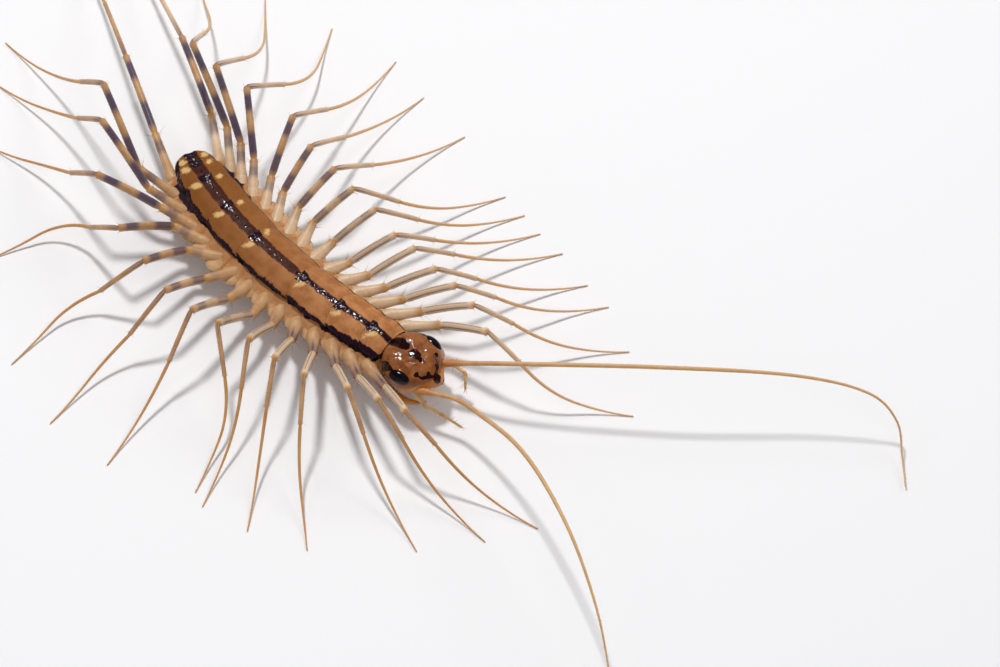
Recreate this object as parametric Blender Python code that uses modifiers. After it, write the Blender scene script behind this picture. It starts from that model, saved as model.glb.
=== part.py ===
"""A house centipede at its real size, standing with all its legs spread.

Sizes are in millimetres and angles in degrees. The head faces -Y and the animal's left is +X.
The body bends a little, so most places are given as a distance behind the front of the head,
measured along the body's own axis, and a distance out to the left of that axis.
"""

import math

import bmesh
import bpy
from mathutils import Vector

MM = 0.001
GAP = 0.3
COLLECTION = "house_centipede"

# The body's axis in plan
HEAD_FRONT = (0.2, -14.1)
HEAD_HEADING = -9.0
NECK_HEADING = -11.0
TAIL_TURN = 32.0
NECK_AT = 4.9
BODY_LENGTH = 28.8
AXIS_STEP = 0.1

# Head capsule, as half sizes of a dome
HEAD_HALF_LENGTH = 2.55
HEAD_HALF_WIDTH = 2.35
HEAD_HALF_HEIGHT = 1.35
HEAD_CENTRE_UP = 3.4
LOBE_RISE = 0.25
LOBE_BACK = 3.8
LOBE_OUT = 1.0
LOBE_SPREAD = (0.9, 0.8)
SNOUT_TAPER = 0.62
SNOUT_POWER = 2.6
HEAD_CENTRE_BACK = 2.45
HEAD_SIDES = 20
HEAD_RINGS = 12

# Eyes, as half sizes: out, along the body, up
EYE_HALF = (0.52, 0.92, 0.54)
EYE_OUT = 1.98
EYE_BACK = 2.45
EYE_UP = 3.75
EYE_TOE_IN = 16.0

# Trunk under the plates
TRUNK_WIDTH_AT = (4.2, 8.0, 12.0, 22.0, 26.0, 28.4, 28.9)
TRUNK_HALF_WIDTH = (1.3, 1.6, 1.75, 1.8, 1.55, 1.1, 0.35)
TRUNK_TOP_BELOW_BACK = 0.85
TRUNK_DEPTH = 2.1
TRUNK_PARTS = (("trunk_front", 4.2, 13.4), ("trunk_middle", 13.7, 20.9), ("trunk_rear", 21.2, 28.75))
TRUNK_SIDES = 16
TRUNK_RING_STEP = 1.35

# Back plates: start, end, half width
PLATES = (
    (4.75, 6.9, 1.85),
    (7.2, 10.0, 1.95),
    (10.3, 13.8, 2.0),
    (14.1, 19.1, 2.1),
    (19.4, 22.8, 2.2),
    (23.1, 26.1, 2.15),
    (26.4, 28.0, 1.9),
    (28.3, 28.95, 1.4),
)
BACK_UP_AT = (4.0, 9.0, 14.0, 22.0, 26.0, 29.5)
BACK_UP = (4.6, 4.75, 4.9, 4.85, 4.6, 3.95)
PLATE_THICK = 0.5
PLATE_ARCH = 0.75
PLATE_NOTCH = 0.4
PLATE_NOTCH_HALF = 0.24
PLATE_CORNER = 0.35

# Walking legs: the first leg's place, and the step to the next
FIRST_LEG_AT = 5.4
LEG_STEP = 1.6
LEG_UP = 2.95
COXA = 0.45
LEG_KEYS = (1, 6, 10, 14)
PREFEMUR = (2.95, 1.95, 2.75, 3.8)
FEMUR = (4.45, 4.0, 4.2, 7.0)
TIBIA = (3.3, 3.75, 4.75, 5.25)
TARSUS = (8.9, 8.5, 8.7, 10.8)
PREFEMUR_RISE = {1: (12, 11, 14, 26), -1: (14, 16, 12, 28)}
FEMUR_RISE = {1: (24, 25, 33, 36), -1: (28, 36, 24, 37)}
TIBIA_FALL = {1: (28, 33, 36, 42), -1: (33, 36, 42, 44)}
TARSUS_STEPS = 6
FOOT_UP = 0.09

# Where each leg of a side points, first to fourteenth: degrees back from straight out sideways
LEFT_TURNS = {
    "prefemur": (-46, -41, -38, -35, -31, -22, 1, 23, 29, 36, 37, 47, 50, 54),
    "femur": (-70, -52, -42, -35, -22, -21, -14, -12, -5, 9, 24, 55, 70, 76),
    "tibia": (-78, -53, -40, -35, -27, -24, -31, -34, -3, 9, 8, 3, 18, 39),
    "tarsus": (-50, -39, -29, -29, -26, -23, -22, -20, -7, 3, 16, 36, 50, 62),
}
RIGHT_TURNS = {
    "prefemur": (-78, -66, -58, -48, -38, -29, -24, -5, 17, 50, 64, 66, 66, 68),
    "femur": (-72, -73, -65, -40, -30, -20, -2, -2, 1, 5, 17, 54, 90, 104),
    "tibia": (-100, -86, -71, -43, -37, -38, -58, -17, 6, 34, 86, 90, 94, 96),
    "tarsus": (-107, -93, -76, -55, -40, -26, -26, -17, -10, -8, 16, 74, 82, 90),
}

# The last legs trail behind like a second pair of feelers
TRAIL_LENGTHS = (4.6, 7.6, 7.2, 19.0)
TRAIL_TURNS = {1: (58, 68, 70, 74), -1: (112, 112, 114, 108)}
TRAIL_RISE = (4.0, 6.0, -12.0)

# Thickness, as radii: coxa and prefemur, knee end of the femur and so on, down to the tarsus tip
COXA_RADIUS = (0.46, 0.48, 0.44, 0.34)
PREFEMUR_RADIUS = (0.42, 0.45, 0.43, 0.37)
FEMUR_RADII = (0.4, 0.34)
TIBIA_RADII = (0.29, 0.27)
TARSUS_RADII = (0.26, 0.11)
JOINT_HALF = 0.16

# Feelers of the head: control points of a smooth curve, and radii from root to tip
ANTENNA_LEFT = (
    (1.3, -13.0, 3.4),
    (4.7, -17.5, 5.0),
    (12.2, -25.3, 5.5),
    (19.0, -31.9, 5.0),
    (22.6, -36.3, 4.0),
    (23.4, -38.8, 2.2),
    (22.3, -40.6, 0.7),
    (20.7, -42.6, 0.3),
)
ANTENNA_RIGHT = (
    (-1.6, -13.2, 3.0),
    (-0.75, -14.9, 3.35),
    (-0.1, -16.4, 3.6),
    (0.05, -19.4, 4.2),
    (-0.3, -23.0, 5.3),
    (-1.3, -27.0, 6.0),
    (-3.0, -32.0, 5.9),
    (-5.2, -37.0, 4.4),
    (-7.4, -40.8, 2.2),
)
ANTENNA_RADII = (0.28, 0.25, 0.25, 0.12)
ANTENNA_STEPS = 26
PALP_LEFT = ((1.2, -12.6, 2.5), (2.2, -13.2, 2.6), (2.42, -14.4, 2.5), (1.75, -15.1, 1.7))
PALP_RIGHT = ((-1.35, -13.0, 2.1), (-1.5, -14.2, 1.95), (-1.0, -15.6, 1.65), (-0.45, -17.2, 1.2))
PALP_RADII = (0.27, 0.26, 0.25, 0.12)
PALP_STEPS = 7

# Poison claws, in body places: back, out, up
CLAW = (
    (6.0, 0.7, 2.3),
    (5.0, 1.3, 1.5),
    (3.5, 1.95, 1.35),
    (2.1, 2.0, 1.3),
    (0.9, 1.45, 1.2),
    (0.35, 0.75, 1.15),
)
CLAW_RADII = (0.42, 0.42, 0.34, 0.12)
CLAW_STEPS = 8
MOUTH_HALF = (0.95, 1.5, 0.6)
MOUTH_BACK = 2.3
MOUTH_UP = 1.75

COLOURS = {
    "chitin_plate": ((0.46, 0.22, 0.075), 0.32),
    "head_capsule": ((0.55, 0.26, 0.09), 0.22),
    "eye_black": ((0.008, 0.007, 0.009), 0.08),
    "soft_flank": ((0.68, 0.47, 0.30), 0.5),
    "leg_banded": ((0.62, 0.43, 0.22), 0.38),
    "feeler": ((0.62, 0.36, 0.13), 0.4),
}


def between(x, places, values):
    """Straight-line reading of values at places, held at both ends."""
    if x <= places[0]:
        return values[0]
    for left, right, low, high in zip(places, places[1:], values, values[1:]):
        if x <= right:
            return low + (high - low) * (x - left) / (right - left)
    return values[-1]


def smooth_path(points, steps):
    """Evenly spread points of a smooth curve through control points (Catmull-Rom)."""
    knots = [Vector(p) for p in points]
    knots = [2 * knots[0] - knots[1], *knots, 2 * knots[-1] - knots[-2]]
    dense = []
    for a, b, c, d in zip(knots, knots[1:], knots[2:], knots[3:]):
        for i in range(12):
            t = i / 12
            bend = (2 * a - 5 * b + 4 * c - d) * t * t
            swing = (3 * b - a - 3 * c + d) * t**3
            dense.append(0.5 * (2 * b + (c - a) * t + bend + swing))
    dense.append(knots[-2])
    run = [0.0]
    for p, q in zip(dense, dense[1:]):
        run.append(run[-1] + (q - p).length)
    path = []
    for i in range(steps + 1):
        want = run[-1] * i / steps
        path.append(Vector([between(want, run, [p[axis] for p in dense]) for axis in range(3)]))
    return path


def heading(back):
    """Direction of the body axis, in radians from +Y towards +X."""
    if back < NECK_AT:
        return math.radians(HEAD_HEADING)
    along = (back - NECK_AT) / (BODY_LENGTH + 1.7 - NECK_AT)
    return math.radians(NECK_HEADING + TAIL_TURN * along**1.5)


def trace_axis():
    """Plan positions of the body axis, one for each small step back from the front of the head."""
    points = [Vector((*HEAD_FRONT, 0.0))]
    for i in range(int(31.0 / AXIS_STEP)):
        turn = heading((i + 0.5) * AXIS_STEP)
        points.append(points[-1] + Vector((math.sin(turn), math.cos(turn), 0.0)) * AXIS_STEP)
    return points


AXIS = trace_axis()


def body_point(back, out, up):
    """A place given along the body: back from the nose, out to the left, and up from the floor."""
    i = min(max(back / AXIS_STEP, 0.0), len(AXIS) - 2)
    whole = int(i)
    on_axis = AXIS[whole].lerp(AXIS[whole + 1], i - whole)
    turn = heading(back)
    return on_axis + Vector((math.cos(turn), -math.sin(turn), 0.0)) * out + Vector((0.0, 0.0, up))


def back_up(back):
    return between(back, BACK_UP_AT, BACK_UP)


def trunk_half_width(back):
    return between(back, TRUNK_WIDTH_AT, TRUNK_HALF_WIDTH)


def make_material(name):
    colour, roughness = COLOURS[name]
    material = bpy.data.materials.new(name)
    material.use_nodes = True
    shader = material.node_tree.nodes["Principled BSDF"]
    shader.inputs["Base Color"].default_value = (*colour, 1.0)
    shader.inputs["Roughness"].default_value = roughness
    shader.inputs["Metallic"].default_value = 0.0
    return material


def add_object(name, bm, collection, material=None):
    """Turn a bmesh in millimetres into an object in metres."""
    bmesh.ops.recalc_face_normals(bm, faces=bm.faces)
    bmesh.ops.scale(bm, vec=(MM, MM, MM), verts=bm.verts)
    mesh = bpy.data.meshes.new(name)
    bm.to_mesh(mesh)
    bm.free()
    obj = bpy.data.objects.new(name, mesh)
    collection.objects.link(obj)
    if material is None:
        obj.hide_render = True
        obj.display_type = "WIRE"
    else:
        mesh.materials.append(material)
        mesh.shade_smooth()
    return obj


def cut(obj, cutter):
    """Take the cutter's shape away from the object."""
    modifier = obj.modifiers.new("clear_of_" + cutter.name, "BOOLEAN")
    modifier.operation = "DIFFERENCE"
    modifier.object = cutter


def loft(rings):
    """A closed skin over rings of points, which all have the same count."""
    bm = bmesh.new()
    loops = [[bm.verts.new(p) for p in ring] for ring in rings]
    count = len(loops[0])
    for ring, following in zip(loops, loops[1:]):
        for i in range(count):
            j = (i + 1) % count
            bm.faces.new((ring[i], ring[j], following[j], following[i]))
    bm.faces.new(list(reversed(loops[0])))
    bm.faces.new(loops[-1])
    return bm


def tube(name, path, radii, collection, material):
    """A round bar through points, with its own radius at each, cut flat where it meets the floor."""
    curve = bpy.data.curves.new(name, "CURVE")
    curve.dimensions = "3D"
    curve.bevel_depth = MM
    curve.bevel_resolution = 1
    curve.use_fill_caps = True
    spline = curve.splines.new("POLY")
    spline.points.add(len(path) - 1)
    for point, place, radius in zip(spline.points, path, radii):
        point.co = (*(place * MM), 1.0)
        point.radius = radius
    bar = bpy.data.objects.new(name + "_bar", curve)
    collection.objects.link(bar)
    bpy.context.view_layer.update()
    mesh = bpy.data.meshes.new_from_object(bar.evaluated_get(bpy.context.evaluated_depsgraph_get()))
    bpy.data.objects.remove(bar)
    bm = bmesh.new()
    bm.from_mesh(mesh)
    bpy.data.meshes.remove(mesh)
    bmesh.ops.scale(bm, vec=(1 / MM, 1 / MM, 1 / MM), verts=bm.verts)
    bmesh.ops.remove_doubles(bm, verts=bm.verts, dist=0.001)
    for vert in bm.verts:
        vert.co.z = max(vert.co.z, 0.0)
    return add_object(name, bm, collection, material)


def ball(half, centre, turn=0.0, margin=0.0, sides=14, rings=9):
    """An egg shape with three half sizes, turned about the vertical."""
    bm = bmesh.new()
    bmesh.ops.create_uvsphere(bm, u_segments=sides, v_segments=rings, radius=1.0)
    spin = -(heading(0.0) + math.radians(turn))
    for vert in bm.verts:
        x, y, z = (c * (h + margin) for c, h in zip(vert.co, half))
        vert.co = centre + Vector(
            (x * math.cos(spin) - y * math.sin(spin), x * math.sin(spin) + y * math.cos(spin), z)
        )
    return bm


def head_form(margin):
    """The head capsule: a dome, blunt behind, narrower and lower in front."""
    bm = bmesh.new()
    bmesh.ops.create_uvsphere(bm, u_segments=HEAD_SIDES, v_segments=HEAD_RINGS, radius=1.0)
    for vert in bm.verts:
        x, y, z = vert.co
        forward = max(-y, 0.0)
        behind = max(y, 0.0)
        narrow = 1.0 - SNOUT_TAPER * forward**SNOUT_POWER
        out = x * (HEAD_HALF_WIDTH + margin) * (narrow + 0.25 * behind * (1.0 - behind))
        back = y * (HEAD_HALF_LENGTH + margin)
        full = math.copysign(abs(z) ** (1.0 - 0.4 * behind), z)
        lift = full * (HEAD_HALF_HEIGHT + margin) * (1.0 - 0.18 * forward)
        lift -= 0.4 * forward**2
        from_lobe = (HEAD_CENTRE_BACK + back - LOBE_BACK) / LOBE_SPREAD[0]
        beside_lobe = (abs(out) - LOBE_OUT) / LOBE_SPREAD[1]
        lift += LOBE_RISE * math.exp(-from_lobe * from_lobe - beside_lobe * beside_lobe) * max(z, 0.0)
        vert.co = body_point(HEAD_CENTRE_BACK, out, HEAD_CENTRE_UP + lift) + (
            body_point(HEAD_CENTRE_BACK + back, 0.0, 0.0) - body_point(HEAD_CENTRE_BACK, 0.0, 0.0)
            if back > -HEAD_CENTRE_BACK
            else (body_point(1.0, 0.0, 0.0) - body_point(0.0, 0.0, 0.0)) * back
        )
    return bm


def eye_form(side, margin):
    centre = body_point(EYE_BACK, side * EYE_OUT, EYE_UP)
    return ball(EYE_HALF, centre, turn=side * EYE_TOE_IN, margin=margin)


def trunk_form(start, end, margin):
    """A length of trunk: a rounded square section that follows the body's axis."""
    steps = max(2, round((end - start) / TRUNK_RING_STEP))
    rings = []
    for i in range(steps + 1):
        back = start + (end - start) * i / steps
        half_width = trunk_half_width(back) + margin
        top = back_up(back) - TRUNK_TOP_BELOW_BACK
        narrow = min(1.0, half_width / 1.4)
        half_depth = TRUNK_DEPTH / 2 * narrow + margin
        middle = top - TRUNK_DEPTH / 2 * narrow
        ring = []
        for j in range(TRUNK_SIDES):
            angle = 2 * math.pi * (j + 0.5) / TRUNK_SIDES
            c, s = math.cos(angle), math.sin(angle)
            out = math.copysign(abs(c) ** 0.8, c) * half_width
            up = math.copysign(abs(s) ** 0.8, s) * half_depth
            ring.append(body_point(back, out, middle + up))
        rings.append(ring)
    return loft(rings)


def plate_form(start, end, half_width):
    """The upper face of one back plate: arched, round at its rear corners, notched in the middle."""
    bm = bmesh.new()
    bmesh.ops.create_grid(bm, x_segments=8, y_segments=6, size=1.0)
    for vert in bm.verts:
        across = vert.co.x
        along = (vert.co.y + 1.0) / 2
        notch = PLATE_NOTCH * math.exp(-((across / PLATE_NOTCH_HALF) ** 2))
        corner = PLATE_CORNER * abs(across) ** 4
        back = start + (end - start - notch - corner) * along + 0.35 * corner * (1 - along)
        wide = half_width * (0.95 + 0.05 * math.sin(math.pi * min(along / 0.8, 1.0)) - 0.1 * along**6)
        up = back_up(back) - PLATE_ARCH * (across * wide / 2.15) ** 2
        vert.co = body_point(back, across * wide, up)
    bmesh.ops.triangulate(bm, faces=bm.faces)
    return bm


def leg_direction(side, turn, rise):
    """One step of length 1: turn is back from straight out sideways, rise is up from level."""
    turn = math.radians(turn)
    rise = math.radians(rise)
    return Vector((side * math.cos(turn) * math.cos(rise), math.sin(turn) * math.cos(rise), math.sin(rise)))


def settle(start, length, side, first_turn, last_turn, steps):
    """The last part of a leg: it leaves along one turn, bends to another and comes to lie on the floor."""
    path = []
    place = start.copy()
    for i in range(1, steps + 1):
        along = i / steps
        turn = first_turn + (last_turn - first_turn) * min(1.0, 2 * (along - 0.5 / steps))
        place = place + leg_direction(side, turn, 0.0) * (length / steps)
        path.append(Vector((place.x, place.y, FOOT_UP + (start.z - FOOT_UP) * (1.0 - along) ** 2)))
    return path


def leg_path(side, place, lengths, turns, rises):
    """Centre line and radii of one leg, from inside the trunk to its tip."""
    at = FIRST_LEG_AT + LEG_STEP * (place - 1)
    inner = body_point(at, side * (trunk_half_width(at) - 0.5), LEG_UP)
    coxa = body_point(at, side * (trunk_half_width(at) + GAP + COXA), LEG_UP)
    knots = [coxa]
    for length, turn, rise in zip(lengths, turns, rises):
        knots.append(knots[-1] + leg_direction(side, turn, rise) * length)
    path = [inner, coxa]
    radii = [between(place, LEG_KEYS, COXA_RADIUS)] * 2
    ends = (between(place, LEG_KEYS, PREFEMUR_RADIUS), FEMUR_RADII[1], TIBIA_RADII[1])
    starts = (FEMUR_RADII[0], TIBIA_RADII[0], TARSUS_RADII[0])
    for i in range(3):
        before = (knots[i] - knots[i + 1]).normalized()
        path.append(knots[i + 1] + before * JOINT_HALF)
        radii.append(ends[i])
        if i < 2:
            after = (knots[i + 2] - knots[i + 1]).normalized()
            path.append(knots[i + 1] + after * JOINT_HALF)
            radii.append(starts[i])
    tarsus = settle(knots[3], lengths[3], side, turns[2], turns[3], TARSUS_STEPS)
    path.append(knots[3] + (tarsus[0] - knots[3]).normalized() * JOINT_HALF)
    radii.append(starts[2])
    for i, point in enumerate(tarsus):
        path.append(point)
        radii.append(between(i + 1, (0, TARSUS_STEPS), TARSUS_RADII))
    return path, radii


def walking_leg(side, place):
    turns = LEFT_TURNS if side > 0 else RIGHT_TURNS
    lengths = [between(place, LEG_KEYS, table) for table in (PREFEMUR, FEMUR, TIBIA, TARSUS)]
    rises = [between(place, LEG_KEYS, table[side]) for table in (PREFEMUR_RISE, FEMUR_RISE, TIBIA_FALL)]
    rises[2] = -rises[2]
    return leg_path(side, place, lengths, [turns[part][place - 1] for part in turns], rises)


def trailing_leg(side):
    return leg_path(side, 15, TRAIL_LENGTHS, TRAIL_TURNS[side], TRAIL_RISE)


def tapered(radii, count):
    """Radii spread over a number of points."""
    places = [i / (len(radii) - 1) for i in range(len(radii))]
    return [between(i / (count - 1), places, radii) for i in range(count)]


def feeler(name, points, radii, steps, collection, material):
    path = smooth_path(points, steps)
    return tube(name, path, tapered(radii, len(path)), collection, material)


def centre_on_origin(objects):
    """Move every object so that the whole stands over the origin."""
    bpy.context.view_layer.update()
    depsgraph = bpy.context.evaluated_depsgraph_get()
    low = Vector((1e9, 1e9))
    high = Vector((-1e9, -1e9))
    for obj in objects:
        for corner in obj.evaluated_get(depsgraph).bound_box:
            for axis in range(2):
                low[axis] = min(low[axis], corner[axis])
                high[axis] = max(high[axis], corner[axis])
    shift = -(low + high) / 2
    print("shift to the origin, mm:", round(shift.x / MM, 3), round(shift.y / MM, 3))
    for obj in bpy.data.objects:
        obj.location = (shift.x, shift.y, 0.0)


def main():
    for obj in list(bpy.data.objects):
        bpy.data.objects.remove(obj)
    model = bpy.data.collections.new(COLLECTION)
    cutters = bpy.data.collections.new("cutters")
    for collection in (model, cutters):
        bpy.context.scene.collection.children.link(collection)
    paint = {name: make_material(name) for name in COLOURS}

    head_room = add_object("head_room", head_form(GAP), cutters)
    trunk_room = add_object("trunk_room", trunk_form(TRUNK_PARTS[0][1], TRUNK_PARTS[-1][2], GAP), cutters)

    head = add_object("head", head_form(0.0), model, paint["head_capsule"])
    for side, word in ((1, "left"), (-1, "right")):
        socket = add_object("eye_socket_" + word, eye_form(side, GAP), cutters)
        cut(head, socket)
        add_object("eye_" + word, eye_form(side, 0.0), model, paint["eye_black"])

    for name, start, end in TRUNK_PARTS:
        part = add_object(name, trunk_form(start, end, 0.0), model, paint["soft_flank"])
        if name == "trunk_front":
            cut(part, head_room)

    for number, (start, end, half_width) in enumerate(PLATES, 1):
        name = f"tergite_{number}"
        plate = add_object(name, plate_form(start, end, half_width), model, paint["chitin_plate"])
        wall = plate.modifiers.new("thickness", "SOLIDIFY")
        wall.thickness = PLATE_THICK * MM
        wall.offset = -1.0
        if number == 1:
            cut(plate, head_room)

    for side, word in ((1, "left"), (-1, "right")):
        for place in range(1, 16):
            path, radii = trailing_leg(side) if place == 15 else walking_leg(side, place)
            leg = tube(f"leg_{word}_{place:02d}", path, radii, model, paint["leg_banded"])
            cut(leg, trunk_room)

    antennae = {"left": ANTENNA_LEFT, "right": ANTENNA_RIGHT}
    palps = {"left": PALP_LEFT, "right": PALP_RIGHT}
    for side, word in ((1, "left"), (-1, "right")):
        antenna = feeler(
            "antenna_" + word, antennae[word], ANTENNA_RADII, ANTENNA_STEPS, model, paint["feeler"]
        )
        cut(antenna, head_room)
        palp = feeler("palp_" + word, palps[word], PALP_RADII, PALP_STEPS, model, paint["feeler"])
        cut(palp, head_room)
        route = [body_point(back, side * out, up) for back, out, up in CLAW]
        claw = feeler("forcipule_" + word, route, CLAW_RADII, CLAW_STEPS, model, paint["head_capsule"])
        cut(claw, head_room)
        cut(claw, trunk_room)

    mouth = ball(MOUTH_HALF, body_point(MOUTH_BACK, 0.0, MOUTH_UP), sides=12, rings=8)
    mouthparts = add_object("mouthparts", mouth, model, paint["head_capsule"])
    cut(mouthparts, head_room)
    cut(mouthparts, trunk_room)

    centre_on_origin(model.objects)


main()
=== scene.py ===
# %% [markdown]
# # A house centipede at its real size
#
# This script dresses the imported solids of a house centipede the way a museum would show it:
# whole, standing on thirty long legs, its feelers spread. The solids fix every place and size,
# and the pieces made here lie over them with the finer shapes and the finish. Each step says
# what a piece is on the real animal, how it could be made, and why it is made this way.
# Lengths are in millimetres until a piece is finished, and in metres after that.

import math
import random

import bmesh
import bpy
from mathutils import Matrix, Vector, noise


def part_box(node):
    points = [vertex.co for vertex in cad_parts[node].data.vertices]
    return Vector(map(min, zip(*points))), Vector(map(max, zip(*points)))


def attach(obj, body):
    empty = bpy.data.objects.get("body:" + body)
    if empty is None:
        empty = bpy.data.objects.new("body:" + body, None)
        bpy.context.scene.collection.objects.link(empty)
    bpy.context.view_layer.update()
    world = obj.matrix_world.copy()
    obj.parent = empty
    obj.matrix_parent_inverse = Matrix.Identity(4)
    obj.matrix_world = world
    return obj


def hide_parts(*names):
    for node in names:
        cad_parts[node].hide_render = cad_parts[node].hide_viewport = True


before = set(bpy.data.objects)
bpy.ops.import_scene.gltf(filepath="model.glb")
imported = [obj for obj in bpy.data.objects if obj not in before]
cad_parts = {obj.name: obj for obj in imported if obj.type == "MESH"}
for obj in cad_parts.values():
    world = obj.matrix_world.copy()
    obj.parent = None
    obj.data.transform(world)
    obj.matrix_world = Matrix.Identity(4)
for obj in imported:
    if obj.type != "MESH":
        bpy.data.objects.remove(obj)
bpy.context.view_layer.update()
MM = 0.001
print("solids to dress:", len(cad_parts))


def add_object(name, data):
    """Put a new object in the scene."""
    made = bpy.data.objects.new(name, data)
    bpy.context.scene.collection.objects.link(made)
    return made


# %% [markdown]
# ## Camera
#
# The animal was seen from its right front, from well above, through a long lens held close.
# A camera can be placed by eye or by measured points. Here it looks at one point of the floor
# that lay in the middle of the picture, from a measured direction and distance, so every part
# falls where the picture has it.

# %% Camera
AIM = Vector((7.444, -15.582, 0.0))
CAMERA_DISTANCE = 295.0
CAMERA_RISE = math.radians(55.0)
CAMERA_TURN = math.radians(-42.07)
CAMERA_LENS = 140.0
CAMERA_SENSOR = 36.0
NEAREST_SEEN = 10.0


def direction_at(turn, rise):
    """Out from the animal: turned round from straight ahead and raised above the floor."""
    level = math.cos(rise)
    return Vector((math.sin(turn) * level, -math.cos(turn) * level, math.sin(rise)))


toward_camera = direction_at(CAMERA_TURN, CAMERA_RISE)
camera_data = bpy.data.cameras.new("camera")
camera_data.lens = CAMERA_LENS
camera_data.sensor_width = CAMERA_SENSOR
camera_data.clip_start = NEAREST_SEEN * MM
camera = add_object("camera", camera_data)
camera.location = (AIM + toward_camera * CAMERA_DISTANCE) * MM
camera.rotation_euler = (-toward_camera).to_track_quat("-Z", "Y").to_euler()
bpy.context.scene.camera = camera
print("camera at, mm:", [round(c / MM) for c in camera.location])

# %% [markdown]
# ## Materials
#
# Arthropod skin is one hard, slightly clear layer over colour spots. Every finish below is
# therefore the same kind of material with other colours: a mottled ground, three tones laid
# over it, a fine relief and a broken gloss. The tones follow the shape, so each piece carries
# their amounts (dark, warm and pale, from 0 to 1) on its own points, worked out from named
# sizes, and the material only frays their edges with noise. A picture would be simpler to
# paint, but it has no detail close up.

# %% A node helper
TONES = ("dark", "warm", "pale")


def add_node(material, kind, settings=None, sockets=None):
    """Add a shader node. A socket is given a number, a colour or another node's output."""
    made = material.node_tree.nodes.new(kind)
    for name, value in (settings or {}).items():
        setattr(made, name, value)
    for name, value in (sockets or {}).items():
        socket = made.inputs[name]
        if isinstance(value, bpy.types.NodeSocket):
            material.node_tree.links.new(value, socket)
        else:
            socket.default_value = value
    return made


def mix_colour(material, amount, below, above):
    """Lay one colour over another by an amount."""
    sockets = {0: amount, 6: below, 7: above}
    return add_node(material, "ShaderNodeMix", {"data_type": "RGBA"}, sockets).outputs[2]


def ramp(material, value, low, high, start=0.0, end=1.0):
    """Turn the range low to high into start to end, with soft shoulders."""
    made = add_node(
        material,
        "ShaderNodeMapRange",
        {"interpolation_type": "SMOOTHSTEP"},
        {"Value": value, "From Min": low, "From Max": high, "To Min": start, "To Max": end},
    )
    return made.outputs["Result"]


def combined(material, first, second, operation="ADD"):
    """Add two values, or combine them in another way."""
    sockets = {0: first, 1: second}
    return add_node(material, "ShaderNodeMath", {"operation": operation}, sockets).outputs[0]


# %% A cuticle finish
MOTTLES = 1.1
TAIL_FROM = -12.0
TAIL_TO = 9.0
DIMPLES = 0.08
BUMP_STRENGTH = 0.6
COAT_ROUGHNESS = 0.09
SKIN_DEPTH = 0.4
SKIN_SPREAD = (1.0, 0.5, 0.25)


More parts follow.
